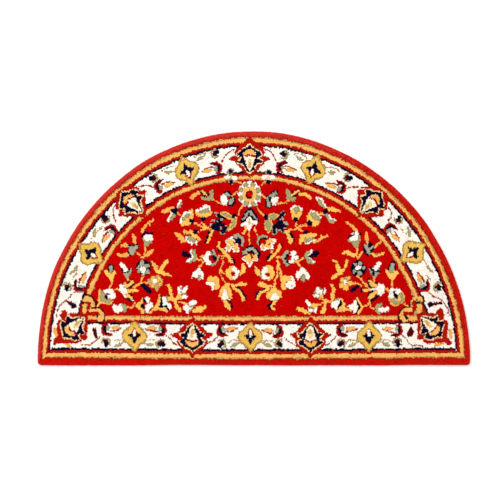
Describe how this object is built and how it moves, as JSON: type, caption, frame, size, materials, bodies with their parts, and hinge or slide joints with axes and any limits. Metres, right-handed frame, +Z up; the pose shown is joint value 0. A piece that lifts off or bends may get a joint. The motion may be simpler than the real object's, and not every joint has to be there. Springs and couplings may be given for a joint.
{
  "type": "half-round hearth rug",
  "caption": "Half-round tufted wool hearth rug with a straight edge for the hearth and a traditional flower pattern in a banded border.",
  "frame": {"origin": "on the floor, under the middle of the rug's bounding box", "axes": "+X along the straight edge, +Y from the straight edge towards the top of the curve, +Z up out of the pile"},
  "size_m": [1.1188, 0.6062, 0.013],
  "materials": {
    "wool_pile": "cut wool pile, matt, red ground with ivory, gold, navy and sage"
  },
  "bodies": {
    "root": {"rug": "wool_pile"}
  },
  "joints": []
}
